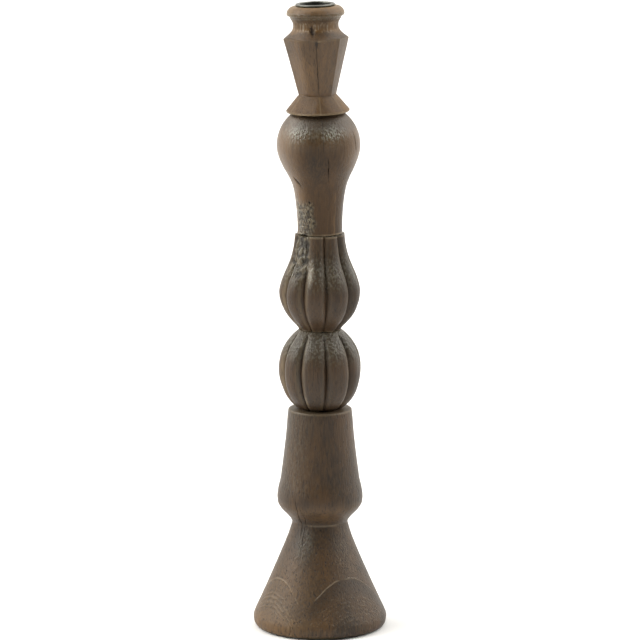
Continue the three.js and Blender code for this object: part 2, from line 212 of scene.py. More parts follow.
class Turning:
    """A turned piece as a grid of points: rows along its section, columns round its axis."""

    def __init__(self, node, place, section, angles):
        self.node = node
        self.place = place
        self.seat = place.translation.z
        self.angle = angles[None, :]
        self.radius = section[:, :1] * np.ones_like(self.angle)
        self.height = section[:, 1:] * np.ones_like(self.angle)
        self.outside = np.zeros((len(section), 1))
        self.outside[BORE_ROWS:-BORE_ROWS] = 1
        way = np.gradient(section, axis=0)
        way /= np.linalg.norm(way, axis=1)[:, None]
        self.normal = way[:, 1:], -way[:, :1]
        self.marks = {}

    def points(self):
        """Where each point is, from the middle of the piece's own foot."""
        across = self.radius * np.sin(self.angle)
        away = -self.radius * np.cos(self.angle)
        return np.stack([across, away, self.height], axis=-1)

    def level(self):
        """Height above the table."""
        return self.height + self.seat

    def aside(self, angle):
        """How far round the axis from an angle, positive towards +X."""
        return np.mod(self.angle - angle + math.pi, TURN) - math.pi

    def arc(self, angle):
        """Distance round the surface from an angle, positive towards +X."""
        return self.radius * self.aside(angle)

    def sector(self, angle, whole, gone):
        """Share of a mark round an angle: whole so far to each side of it, and gone further off."""
        return smooth(gone, whole, np.abs(self.aside(angle)))

    def flank(self, side, start, whole):
        """Share of a mark on one flank, from a start angle to where it is whole. It is gone at the back."""
        turn = side * self.aside(0)
        return smooth(start, whole, turn) * smooth(*BACK_FADE, turn)

    def heights(self, start, whole):
        """Share of a mark that starts at one height and is whole from another, up or down."""
        return smooth(start, whole, self.level())

    def stretch(self, low, whole_from, whole_to, high):
        """Share of a mark on a stretch of the piece's height, which fades out at both of its ends."""
        return self.heights(low, whole_from) * self.heights(high, whole_to)

    def band(self, level, whole, gone):
        """Share of a mark in a band round a height: whole so far above and below it, gone further off."""
        return smooth(gone, whole, np.abs(self.level() - level))

    def push(self, amount):
        """Moves the outside along its own normal."""
        across, along = self.normal
        self.radius = self.radius + amount * self.outside * across
        self.height = self.height + amount * self.outside * along

    def mark(self, name, amount):
        """Adds to a share, from 0 to 1, that the finish reads from the skin."""
        total = self.marks.get(name, 0) + amount * self.outside
        self.marks[name] = np.clip(total, 0, 1) * np.ones_like(self.radius)

    def relief(self, passes):
        """How far each point stands out of the surface round it, along the section's normal."""
        radius, height = self.radius, self.height
        for _ in range(passes):
            for axis in (0, 1):
                wide = [np.roll(value, 1, axis) + np.roll(value, -1, axis) for value in (radius, height)]
                radius = radius / 2 + wide[0] / 4
                height = height / 2 + wide[1] / 4
        across, along = self.normal
        return ((self.radius - radius) * across + (self.height - height) * along) * self.outside

    def skin(self, finish, slot):
        """The piece itself: a closed mesh with its marks, in place of its CAD node."""
        rows, columns = self.radius.shape
        low, high = (0, 0, self.height[0, 0]), (0, 0, self.height[-1, 0])
        points = np.concatenate([[low], self.points().reshape(-1, 3), [high]])
        at = 1 + np.arange(rows * columns).reshape(rows, columns)
        beside = np.roll(at, -1, axis=1)
        quads = np.stack([at[:-1], beside[:-1], beside[1:], at[1:]], axis=-1).reshape(-1, 4)
        fans = [(0, b, a) for a, b in zip(at[0], beside[0])]
        fans += [(len(points) - 1, a, b) for a, b in zip(at[-1], beside[-1])]
        mesh = bpy.data.meshes.new(self.node)
        mesh.from_pydata(points.tolist(), [], quads.tolist() + fans)
        mesh.shade_smooth()
        mesh.set_sharp_from_angle(angle=SHARP_EDGE)
        for name, share in self.marks.items():
            attribute = mesh.attributes.new(name, "FLOAT", "POINT")
            attribute.data.foreach_set("value", np.concatenate([[0], share.ravel(), [0]]))
        mesh.transform(self.place)
        return dressed(mesh, self.node, finish)


def dressed(mesh, node, finish):
    """An object in place of a CAD node, on that node's body."""
    piece = bpy.data.objects.new(node + "_skin", mesh)
    bpy.context.scene.collection.objects.link(piece)
    mesh.materials.append(finish)
    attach(piece, frame["nodes"][node]["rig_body"])
    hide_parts(node)
    return piece


def turned_wood(node, lean, meridian, angles, foot_bore, top_bore, step=OUTLINE_STEP):
    """A wooden piece with the outline that its CAD node has along a meridian, between its two bores."""
    points, faces, place = stood_upright(node, lean)
    outside = faired(outer_rings(points, faces, meridian), step)
    top = outside[-1, 1]
    foot_radius, foot_depth = foot_bore
    top_radius, top_depth = top_bore
    foot = [(foot_radius, foot_depth), (foot_radius, 0)]
    head = [(top_radius, top), (top_radius, top - top_depth)]
    return Turning(node, place, np.concatenate([foot, outside, head]), angles)


# Marks of the hand, of age and of use, and painted light and shade

WANDER = 0.22 * MM                  # out of true by hand turning
BASE_WANDER = 0.1 * MM
WANDER_SIZE = 24 * MM
TOOL_WAVE = 0.05 * MM
TOOL_WAVE_SIZE = 5 * MM
EDGE_PASSES = 3
EDGE_RELIEF = 0.06 * MM, 0.22 * MM  # relief at which an edge starts to pale with wear, and is fully so
CUT_RELIEF = 0.06 * MM, 0.25 * MM   # the same for dirt and painted shade in a cut
BLOOM_SLOPE = 0.05, 0.6             # upward share of a face's normal where the waxy film and painted sheen start, and are whole


def hand_turned(turning, seed, wander=WANDER):
    """Slight wander and tool waves of a piece turned by hand."""
    points = turning.points() + (0, 0, turning.seat)
    turning.push(wander * lumps(points, WANDER_SIZE, seed))
    turning.push(TOOL_WAVE * lumps(points, TOOL_WAVE_SIZE, seed))


def age(turning, bloom_and_painted_sheen, passes=EDGE_PASSES):
    """Edges paler with wear, and cuts darker with dirt and painted shade, from the relief of the finished
    shape, and a waxy grey film with painted sheen on faces turned up.
    """
    relief = turning.relief(passes)
    turning.mark("wear_and_painted_highlight", 0.5 * smooth(*EDGE_RELIEF, relief))
    # cuts painted darker: dirt and painted shade
    turning.mark("dirt_and_painted_shade", 0.35 * smooth(*CUT_RELIEF, -relief))
    # grey film and painted sheen on faces turned up
    turning.mark("bloom_and_painted_sheen", bloom_and_painted_sheen * smooth(*BLOOM_SLOPE, turning.normal[1]))


# Shares across a rib run from 0 on its crest to 1 in the groove
FRONT_GROOVES = GROOVE_ANGLE + RIB_ANGLE * np.array([-3, -2, -1, 0, 1, 2])
GROOVE_SWAY = 0.8 * DEG
GROOVE_SWAY_SIZE = 80 * MM          # round the body
GROOVE_SWAY_DRAWN = 0.2             # so every 16 mm up a groove
GROOVE_SHADE_AND_DIRT = 0.9                   # painted shade and dirt, and the crease, start here
CREASE = 0.003                      # further cut along the bottom of a groove, share of the radius
RIB_EDGE_IN = 0.45, 0.7             # a rib's edge comes in here
RIB_EDGE_OUT = 0.92, 0.78           # and goes out towards the groove
EDGE_PATCH_SIZE = 8 * MM
EDGE_PATCH_DRAWN = 2.5
RIB_UNEVEN = 0.2                    # share of the ribs' depth
RIB_SHADE = 0.62, 0.4               # shares of a body's height where painted shade starts, going down, and is whole


def rib_grooves(turning, ribs, aside, fade=1.0):
    """Carves the ribs of a turned body, pales their edges with wear and painted highlight, and darkens
    the grooves with dirt and painted shade. The grooves in front lie aside by hand, each by its own angle."""
    points = turning.points() + (0, 0, turning.seat)
    sway = GROOVE_SWAY * lumps(points, GROOVE_SWAY_SIZE, seed=0, drawn=GROOVE_SWAY_DRAWN)
    sway = sway - np.interp(turning.angle, FRONT_GROOVES, aside, period=TURN)
    turn = np.mod(turning.angle - GROOVE_ANGLE + sway, RIB_ANGLE) / RIB_ANGLE
    off_crest = np.abs(2 * turn - 1)
    in_groove = smooth(GROOVE_SHADE_AND_DIRT, 1, off_crest)
    depth, power = ribs
    fall = depth * off_crest**power + CREASE * in_groove
    uneven = 1 + RIB_UNEVEN * lumps(points, WANDER_SIZE, seed=6)
    turning.radius = turning.radius * (1 - fall * fade * uneven * turning.outside)
    # grooves painted darker: dirt and painted shade
    turning.mark("dirt_and_painted_shade", 0.08 * in_groove * fade)

    # rib edges painted paler: wear and painted highlight, less on the far right
    edge = smooth(*RIB_EDGE_IN, off_crest) * smooth(*RIB_EDGE_OUT, off_crest) * fade
    edge_patchiness = 0.4 + 0.6 * smooth(0, 0.4, lumps(points, EDGE_PATCH_SIZE, seed=9, drawn=EDGE_PATCH_DRAWN))
    edge_patchiness = edge_patchiness * (1 - 0.75 * turning.sector(GROOVE_ANGLE, whole=8 * DEG, gone=22 * DEG))
    far_right = smooth(42 * DEG, 50 * DEG, turning.aside(0)) * smooth(85 * DEG, 70 * DEG, turning.aside(0))
    turning.mark("wear_and_painted_highlight", 0.64 * edge * edge_patchiness * (1 - 0.8 * far_right))

    # painted highlight on the rib edges facing the left lamps, and painted light on the left flank
    right_of_groove = turn < 0.5
    left_edge = edge * right_of_groove * turning.flank(LEFT, 40 * DEG, 52 * DEG)
    turning.mark("wear_and_painted_highlight", 0.65 * left_edge)
    turning.mark("wax_and_painted_glint", 0.7 * left_edge)
    turning.mark("streak", 0.4 * left_edge)
    turning.mark("thin_stain_and_painted_light", 0.2 * (left_edge + fade * turning.flank(LEFT, 60 * DEG, 75 * DEG)))
    # painted shade on the lower part of the right flank
    lower = smooth(*RIB_SHADE, turning.height / turning.height.max())
    turning.mark("dirt_and_painted_shade", 0.26 * lower * turning.flank(RIGHT, 10 * DEG, 50 * DEG))


SPLIT_CLOSING = 9 * MM
SPLIT_RAGGED = 2.2 * MM             # size of the splinters along a split


def drying_split(turning, heights, angles, width, depth):
    """A crack along the grain, through points given by height and angle, closing at both ends."""
    angle = np.interp(turning.level(), heights, angles)
    up_only = turning.points() * (0, 0, 1)
    ragged = lumps(up_only, SPLIT_RAGGED, seed=7.3)
    across = np.abs(turning.arc(angle) + 0.35 * width * ragged)
    low, high = heights[0], heights[-1]
    opened = turning.stretch(low, low + SPLIT_CLOSING, high - SPLIT_CLOSING, high)
    cut = smooth(width, 0.2 * width, across) * opened * (0.75 + 0.5 * ragged)
    turning.push(-depth * cut)
    turning.mark("dirt_and_painted_shade", cut)


GOUGE_RAGGED = 1.6 * MM


def gouge(turning, height, angle, length, width, depth, slant):
    """A dent left by a slip of the chisel, a lost knot or a knock."""
    across, along = turning.arc(angle), turning.level() - height
    u = (along * math.cos(slant) + across * math.sin(slant)) / (length / 2)
    v = (across * math.cos(slant) - along * math.sin(slant)) / (width / 2)
    ragged = 0.35 * lumps(turning.points(), GOUGE_RAGGED, seed=3.1)
    dent = smooth(1, 0.2, np.hypot(u, v) + ragged)
    turning.push(-depth * dent)
    turning.mark("dirt_and_painted_shade", 0.9 * dent)


HOLLOW_FALL = 1.5                   # how fast a hollow ends


def hollow(turning, height, angle, length, width, depth):
    """A broad shallow flat where the hand took off a little too much."""
    across = turning.arc(angle) / (width / 2)
    along = (turning.level() - height) / (length / 2)
    turning.push(-depth * np.exp(-(across**2 + along**2) * HOLLOW_FALL))


PATCH_EDGE = 4 * MM
PATCH_SIDES = 1.15, 0.7             # shares of its half width where a patch ends, and where it is whole
PATCH_RAGGED = 8 * MM               # how far the patch's edge wanders up and down
PATCH_RAGGED_SIZE = 9 * MM
WORM_CLOD = 2.2                     # times a pit's size
PIT_DRAWN = 10 / 7


def worm_patch(turning, low, high, left, right, pit, depth, bare):
    """Wood eaten rough by worm and since smoothed by use: small pits, darker with dirt and painted shade,
    between high spots paler as bare wood and painted highlight.
    """
    points = turning.points() + (0, 0, turning.seat)
    ragged = 0.45 * lumps(points, PATCH_RAGGED_SIZE, seed=5)
    aside = np.abs(turning.aside((left + right) / 2)) / ((right - left) / 2)
    level = turning.level() + PATCH_RAGGED * ragged
    patch = smooth(*PATCH_SIDES, aside + ragged)
    patch = patch * smooth(low - PATCH_EDGE, low + PATCH_EDGE, level)
    patch = patch * smooth(high + PATCH_EDGE, high - PATCH_EDGE, level)
    pits = lumps(points, pit, seed=2, drawn=PIT_DRAWN)
    clods = lumps(points, WORM_CLOD * pit, seed=8)
    turning.push(depth * patch * (0.6 * pits + 0.6 * clods - 0.5))
    turning.mark("rough", patch)
    # high spots painted paler with painted highlight, pits painted darker with painted shade
    turning.mark("wear_and_painted_highlight", patch * (0.1 + bare * smooth(0.05, 0.4, pits + 0.5 * clods)))
    turning.mark("dirt_and_painted_shade", 0.75 * patch * smooth(0, 0.25, -pits))


# The base, in one turning: foot, waist and drum

WAIST_ARRIS = 79 * MM
WAIST_UNDERSIDE = 89 * MM
WAIST_SPLIT = np.array([66, 75, 83, 91, 102]) * MM, np.array([-37, -39.5, -39, -32.5, -35]) * DEG
SECOND_SPLIT = WAIST_SPLIT[0] - 6 * MM, WAIST_SPLIT[1] + 7 * DEG
BASE_SPLITS = -37 * DEG, -30 * DEG
DRUM_EDGE = 0.5 * MM                # middle of the drum's upper edge, below its top
FIGURE_TOP = 80 * MM                # growth rings show below the waist
FIGURE_WHOLE = 60 * MM


def base_skin(finish):
    angles = columns_round(BASE_COLUMNS, 0, BASE_SPLITS)
    piece = turned_wood("base", 0, 0, angles, PAD_RECESS, DOWEL_HOLE, BASE_STEP)
    hand_turned(piece, seed=0.4, wander=BASE_WANDER)
    hollow(piece, height=50 * MM, angle=80 * DEG, length=60 * MM, width=40 * MM, depth=0.6 * MM)
    drying_split(piece, *WAIST_SPLIT, width=0.65 * MM, depth=0.45 * MM)
    drying_split(piece, *SECOND_SPLIT, width=0.5 * MM, depth=0.3 * MM)
    foot_radius = CAD_BOX[1][0]     # the widest part of the holder
    piece.radius = np.minimum(piece.radius, foot_radius)

    age(piece, bloom_and_painted_sheen=0.1, passes=1)
    # painted highlights along the waist's arris and the drum's top edge
    arris = piece.band(WAIST_ARRIS, whole=0, gone=0.7 * MM)
    arris = arris * piece.sector(5 * DEG, whole=20 * DEG, gone=50 * DEG)
    drum_edge = piece.band(piece.level().max() - DRUM_EDGE, whole=0.5 * MM, gone=1.4 * MM)
    piece.mark("wear_and_painted_highlight", 0.57 * arris + 0.3 * drum_edge)
    # painted light on the lit left of the toe and foot, and on the shaded underside of the waist
    toe_left = piece.sector(-60 * DEG, whole=20 * DEG, gone=75 * DEG) * piece.heights(20 * MM, 8 * MM)
    foot_left = piece.flank(LEFT, -30 * DEG, 40 * DEG) * piece.heights(70 * MM, 30 * MM)
    underside = piece.band(WAIST_UNDERSIDE, whole=3 * MM, gone=9 * MM)
    piece.mark("thin_stain_and_painted_light", 0.35 * toe_left + 0.38 * foot_left + 0.25 * underside)
    piece.mark("wax_and_painted_glint", 0.4)
    piece.mark("polish", 0.3 * piece.heights(84 * MM, 92 * MM))
    # painted sheen on the drum's lit left
    drum_left = piece.flank(LEFT, -10 * DEG, 50 * DEG) * piece.heights(95 * MM, 115 * MM)
    piece.mark("bloom_and_painted_sheen", 0.2 * drum_left)
    by_split = piece.stretch(48 * MM, 62 * MM, 72 * MM, 78 * MM)
    by_split = by_split * piece.sector(-26 * DEG, whole=8 * DEG, gone=24 * DEG)
    piece.mark("rough", 0.35 * by_split)
    # painted glints along the fibres on the foot's right
    foot_right = piece.stretch(38 * MM, 52 * MM, 70 * MM, 78 * MM)
    foot_right = foot_right * piece.sector(42 * DEG, whole=10 * DEG, gone=26 * DEG)
    piece.mark("streak", 0.2 * foot_right)
    piece.mark("figure", piece.heights(FIGURE_TOP, FIGURE_WHOLE))
    return piece.skin(finish, "dark_stained_wood")


# The two ribbed bodies

# How far each of the front grooves lies aside of its even place, from left to right
MELON_ASIDE = np.array([-6, -6, -5, -1.5, 3.5, 3]) * DEG
GOURD_ASIDE = np.array([-6, -3.5, -1.5, -0.5, 5, 4]) * DEG
GOURD_SPLIT = np.array([224, 250]) * MM, np.array([10.5, 10.5]) * DEG


def ribbed_body(node):
    """A ribbed body before it is carved, with the outline of its ribs' crests."""
    angles = columns_round(RIBS * RIB_COLUMNS, GROOVE_ANGLE)
    return turned_wood(node, 0, GROOVE_ANGLE + RIB_ANGLE / 2, angles, DOWEL_HOLE, DOWEL_HOLE)


def melon_skin(finish):
    piece = ribbed_body("ribbed_melon")
    top = piece.height.max()
    rib_grooves(piece, MELON_RIBS, MELON_ASIDE, np.clip((top - piece.height) / MELON_COLLAR, 0, 1))
    hand_turned(piece, seed=1.3)
    hollow(piece, height=178 * MM, angle=-90 * DEG, length=18 * MM, width=24 * MM, depth=0.8 * MM)

    age(piece, bloom_and_painted_sheen=0.95)
    collar = smooth(MELON_COLLAR, MELON_COLLAR / 2, top - piece.height)
    piece.mark("wear_and_painted_highlight", 0.36 * collar)
    piece.mark("dirt_and_painted_shade", 0.12 + 0.16 * smooth(top / 2, top * 0.75, piece.height))
    piece.mark("wax_and_painted_glint", 0.4)
    piece.mark("polish", 0.6)
    return piece.skin(finish, "dark_stained_wood")


def gourd_skin(finish):
    piece = ribbed_body("ribbed_gourd")
    eaten = piece.sector(-36 * DEG, whole=14 * DEG, gone=28 * DEG) * piece.heights(262 * MM, 276 * MM)
    rib_grooves(piece, GOURD_RIBS, GOURD_ASIDE, 1 - 0.7 * eaten)
    hand_turned(piece, seed=2.2)
    drying_split(piece, *GOURD_SPLIT, width=0.3 * MM, depth=0.3 * MM)
    hollow(piece, height=238 * MM, angle=-90 * DEG, length=22 * MM, width=24 * MM, depth=0.7 * MM)
    worm_patch(piece, low=264 * MM, high=300 * MM, left=-78 * DEG, right=-22 * DEG,
               pit=2.8 * MM, depth=1.9 * MM, bare=0.95)
    # a pale spot on the middle rib: bare wood and painted highlight
    from_pale_spot = np.hypot(piece.arc(-16 * DEG) / (2 * MM), (piece.level() - 267 * MM) / (8 * MM))

    age(piece, bloom_and_painted_sheen=0.9)
    pale_spot = smooth(1.4, 0.5, from_pale_spot)
    piece.mark("wear_and_painted_highlight", 0.75 * pale_spot)
    piece.mark("wax_and_painted_glint", 0.4 + 0.5 * pale_spot)
    piece.mark("dirt_and_painted_shade", 0.12)
    piece.mark("polish", 0.6)
    return piece.skin(finish, "dark_stained_wood")


# The bulb and its neck

HAIRLINE = np.array([352, 367, 384]) * MM, np.array([6.5, 7, 7]) * DEG
OPEN_SPLIT = np.array([330, 341, 355]) * MM, np.array([19, 15.5, 13]) * DEG
SIDE_SPLIT = np.array([352, 362, 373]) * MM, np.array([63, 61.5, 61]) * DEG
BULB_SPLITS = 7 * DEG, 14 * DEG, 62 * DEG
# Where highlights are painted on the open grain on top of the bulb
SHEEN_ANGLES = -30 * DEG, 20 * DEG
SHEEN_LEVEL = 367 * MM
SHEEN_WIDTH = 10 * MM
SHEEN_HEIGHT = 7.5 * MM
STREAK_ANGLE = 39 * DEG             # a pale streak down the neck
STREAK_RAGGED = 1.5 * MM
STREAK_DRAWN = 5


def bulb_skin(finish):
    angles = columns_round(BULB_COLUMNS, 0, BULB_SPLITS)
    piece = turned_wood("bulb_neck", NECK_LEAN, 0, angles, DOWEL_HOLE, DOWEL_HOLE)
    hand_turned(piece, seed=3.1)
    drying_split(piece, *HAIRLINE, width=0.3 * MM, depth=0.25 * MM)
    drying_split(piece, *OPEN_SPLIT, width=0.55 * MM, depth=0.7 * MM)
    drying_split(piece, *SIDE_SPLIT, width=0.4 * MM, depth=0.5 * MM)
    hollow(piece, height=330 * MM, angle=-80 * DEG, length=30 * MM, width=26 * MM, depth=0.8 * MM)
    gouge(piece, height=333 * MM, angle=-46 * DEG, length=13 * MM, width=3 * MM, depth=0.7 * MM,
          slant=-32 * DEG)
    gouge(piece, height=318 * MM, angle=-24 * DEG, length=5 * MM, width=1.6 * MM, depth=0.6 * MM,
          slant=-15 * DEG)
    worm_patch(piece, low=292 * MM, high=318 * MM, left=-72 * DEG, right=-14 * DEG,
               pit=1.6 * MM, depth=0.6 * MM, bare=0.65)

    # painted highlight patches where the lamps catch the bulb's top: grey sheen, glints and paler colour
    along = (piece.level() - SHEEN_LEVEL) / SHEEN_HEIGHT
    sheen = sum(np.exp(-(piece.arc(angle) / SHEEN_WIDTH)**2 - along**2) for angle in SHEEN_ANGLES)
    age(piece, bloom_and_painted_sheen=0.2 + 1.6 * sheen)
    piece.mark("polish", 1)
    piece.mark("rough", 0.4 * sheen)
    # painted light and glints on the bulb's lit flanks
    left_flank = piece.flank(LEFT, 20 * DEG, 60 * DEG)
    right_flank = piece.flank(RIGHT, 25 * DEG, 70 * DEG) * piece.heights(335 * MM, 355 * MM)
    piece.mark("wax_and_painted_glint", 0.15 + 0.7 * sheen + 0.6 * right_flank)
    piece.mark("wax_and_painted_glint", left_flank * (0.4 + 0.4 * piece.heights(335 * MM, 350 * MM)))
    piece.mark("thin_stain_and_painted_light", 0.4 * sheen + 0.6 * left_flank + 0.5 * right_flank)
    ragged = smooth(-0.3, 0.4, lumps(piece.points(), STREAK_RAGGED, seed=1.7, drawn=STREAK_DRAWN))
    streak = smooth(1.6 * MM, 0.4 * MM, np.abs(piece.arc(STREAK_ANGLE))) * piece.heights(328 * MM, 318 * MM)
    piece.mark("thin_stain_and_painted_light", 0.5 * streak * ragged)
    # painted shade on the front of the belly, and painted shadow with dirt under the skirt
    belly = piece.stretch(338 * MM, 348 * MM, 357 * MM, 364 * MM)
    belly = belly * piece.sector(6 * DEG, whole=14 * DEG, gone=30 * DEG)
    piece.mark("dirt_and_painted_shade", 0.15 * belly + 0.45 * piece.heights(367 * MM, 376 * MM))
    return piece.skin(finish, "dark_stained_wood")


# The socket block

FLAT_BLEND = 0.5 * MM
WAIST_BLEND = 1.2 * MM
TAPER_CROWN = 0.018                 # the flats are slightly round, share of the radius
SKIRT_CROWN = 0.035
SOFT_RIDGE = -31 * DEG              # rubbed nearly away
SOFTENED = 13                       # columns to each side of that ridge
SHOULDER = 54 * MM                  # above the socket's foot, as is the next height
UNDER_BEAD = 69 * MM
UNDERCUT = 1.1 * MM                 # depth and half width of the groove under the bead
RIDGE_SPLIT = np.array([393, 407, 422, 436]) * MM, np.array([4, 2.5, 1, 0]) * DEG
DEEP_ANGLE = -14 * DEG              # where the taper's stain is deepest
DEEP_SLANT = 10 * MM                # its lower edge drops so far in one radian towards +X
BLOTCH_RAGGED = 1.5 * MM
# Angle of each ridge in degrees, and its share of the full radius
TAPER_RIDGES = ((5, 1), (50, 0.94), (95, 1), (140, 0.94), (185, 1), (230, 0.94), (275, 1), (329, 0.93))
SKIRT_RIDGES = ((5, 1), (51, 0.96), (95, 1), (140, 0.96), (185, 1), (230, 0.96), (264, 1), (301, 0.97))


def soft_min(a, b, blend):
    """The lesser of two values, blended where they are close."""
    share = np.clip(0.5 + 0.5 * (b - a) / blend, 0, 1)
    return b * (1 - share) + a * share - blend * share * (1 - share)


def flats_round(piece, ridges, crown):
    """Share of the full radius round a piece with slightly crowned flats from ridge to ridge."""
    corners = [(angle * DEG, share) for angle, share in ridges]
    first_angle, first_share = corners[0]
    flats = np.ones_like(piece.angle)
    for (start, near), (end, far) in zip(corners, corners[1:] + [(first_angle + TURN, first_share)]):
        turn = np.mod(piece.angle - start, TURN)
        side = end - start
        flat = near * far * math.sin(side) / (near * np.sin(turn) + far * np.sin(side - turn))
        flat = flat + crown * np.sin(math.pi * turn / side)
        flats = np.where(turn <= side, flat, flats)
    return flats


def socket_flats(piece):
    """Pares the turned socket to flats between its ridges, which run out in the shoulder and before
    the skirt's rim."""
    outline = piece.radius[:, 0]
    height = piece.height[:, 0]
    body = piece.outside[:, 0] > 0
    shoulder = np.where(body, outline, 0).argmax()
    waist = np.where(body & (height < height[shoulder]), outline, 1).argmin()
    skirt_radius = outline[:waist].max()
    taper = (outline[shoulder] - outline[waist]) / (height[shoulder] - height[waist])
    upper = outline[waist] + taper * (height - height[waist])
    fall = (SKIRT_RUN_OUT * skirt_radius - outline[waist]) / height[waist]
    lower = outline[waist] + fall * (height[waist] - height)
    flats = flats_round(piece, TAPER_RIDGES, TAPER_CROWN)
    rounded = sum(np.roll(flats, step, axis=1) for step in range(-SOFTENED, SOFTENED + 1))
    soft = piece.sector(SOFT_RIDGE, whole=16 * DEG, gone=30 * DEG)
    flats = flats + soft * (rounded / (2 * SOFTENED + 1) - flats)
    on_taper = smooth(-WAIST_BLEND, WAIST_BLEND, height - height[waist])[:, None]
    ridge = np.where(height > height[waist], upper, lower)[:, None]
    skirt_flats = flats_round(piece, SKIRT_RIDGES, SKIRT_CROWN)
    ridge = ridge * (on_taper * flats + (1 - on_taper) * skirt_flats)
    pared = soft_min(piece.radius, ridge, FLAT_BLEND)
    piece.radius = np.where(piece.outside > 0, pared, piece.radius)


def socket_skin(finish):
    angles = columns_round(SOCKET_SIDES * RIDGE_COLUMNS, RIDGE_ANGLE)
    piece = turned_wood("socket_block", SOCKET_LEAN, RIDGE_ANGLE, angles, DOWEL_HOLE, cup_bore_size())
    socket_flats(piece)
    under_bead = piece.height - UNDER_BEAD
    piece.push(-UNDERCUT * np.exp(-(under_bead / UNDERCUT)**2))
    hand_turned(piece, seed=4.6)
    drying_split(piece, *RIDGE_SPLIT, width=0.4 * MM, depth=0.5 * MM)
    gouge(piece, height=442.5 * MM, angle=-9.5 * DEG, length=9 * MM, width=4.2 * MM, depth=0.9 * MM,
          slant=-20 * DEG)

    age(piece, bloom_and_painted_sheen=0)
    socket_marks(piece)
    # painted shade with dark stain in the cove under the bead
    piece.mark("dirt_and_painted_shade", 0.35 * smooth(5 * MM, 2 * MM, np.abs(under_bead + 4 * MM)))
    return piece.skin(finish, "dark_stained_wood")


def socket_marks(piece):
    """Stain, waxing, dirt and wear of the socket, and the light, shade and highlights painted on it, from
    its skirt to its crown.
    """
    skirt = piece.heights(397 * MM, 393 * MM)
    lower_flare = piece.stretch(435.5 * MM, 436.5 * MM, 440 * MM, 443 * MM)
    above_shoulder = piece.heights(437 * MM, 441 * MM)
    flare = piece.stretch(440 * MM, 443 * MM, 446.5 * MM, 449.5 * MM)
    under_bead = piece.stretch(449.5 * MM, 450.5 * MM, 454 * MM, 455.5 * MM)
    bead = piece.heights(453 * MM, 456.5 * MM)
    crown = piece.heights(457 * MM, 459 * MM)
    flanks = sum(piece.flank(side, 30 * DEG, 75 * DEG) for side in (LEFT, RIGHT))
    bead_ends = sum(piece.flank(side, 40 * DEG, 75 * DEG) for side in (LEFT, RIGHT))
    right_side = piece.flank(RIGHT, 35 * DEG, 75 * DEG)
    taper_left = piece.sector(-35 * DEG, whole=0, gone=60 * DEG)
    taper_left = taper_left * (1 - skirt) * piece.heights(430 * MM, 414 * MM)

    piece.mark("polish", 0.7)
    piece.mark("wax_and_painted_glint", 0.4 - 0.1 * above_shoulder - 0.3 * skirt)
    # painted glints along the fibres of the flare and the bead's flanks, and a painted grey sheen under the
    # bead
    piece.mark("streak", flare + 0.5 * under_bead * flanks)
    piece.mark("bloom_and_painted_sheen", 0.6 * under_bead)
    # a paler piece of wood, with painted light on its lit faces: the taper's left, flare, bead, crown,
    # flanks, skirt
    piece.mark("thin_stain_and_painted_light", 0.3 + 0.25 * taper_left + 0.7 * flare + 0.25 * bead + 0.4 * crown)
    piece.mark("thin_stain_and_painted_light", 0.8 * flanks * above_shoulder + (0.15 * flanks + 0.7 * right_side) * skirt)

    deep = piece.sector(DEEP_ANGLE, whole=8 * DEG, gone=26 * DEG) * piece.heights(438 * MM, 435 * MM)
    deep = deep * smooth(414 * MM, 426 * MM, piece.level() + DEEP_SLANT * piece.aside(DEEP_ANGLE))
    over_shoulder = piece.height - SHOULDER
    from_blotch = np.hypot(piece.arc(1 * DEG) / (2.2 * MM), (over_shoulder + 2.5 * MM) / (3.5 * MM))
    blotch = smooth(1, 0.3, from_blotch + 0.5 * lumps(piece.points(), BLOTCH_RAGGED, seed=0))
    piece.mark("dirt_and_painted_shade", 0.26 * deep + 0.2 * lower_flare + 0.8 * blotch)

    # painted highlights on the bead's ends, the shoulder's edge, the skirt's rim and its ridges, with their
    # wear
    piece.mark("wear_and_painted_highlight", 0.4 * bead_ends * piece.heights(449 * MM, 451 * MM))
    piece.mark("wear_and_painted_highlight", 0.14 * smooth(0.9 * MM, 0.3 * MM, np.abs(over_shoulder)))
    piece.mark("wear_and_painted_highlight", 0.29 * smooth(1.2 * MM, 0.4 * MM, piece.height))
    for angle, _ in SKIRT_RIDGES:
        piece.mark("wear_and_painted_highlight", 0.32 * smooth(0.8 * MM, 0.2 * MM, np.abs(piece.arc(angle * DEG))) * skirt)


# The steel cup and the felt pad

CUP_WALL_ROWS = np.linspace(0.1, 0.9, 9)[:, None]     # shares of the cup's height
PAD_RINGS = np.linspace(0.1, 0.95, 18)[:, None]       # shares of the pad's radius
PAD_EDGE_POINTS = 5
EVEN_COLUMNS = TURN * np.arange(CUP_COLUMNS) / CUP_COLUMNS


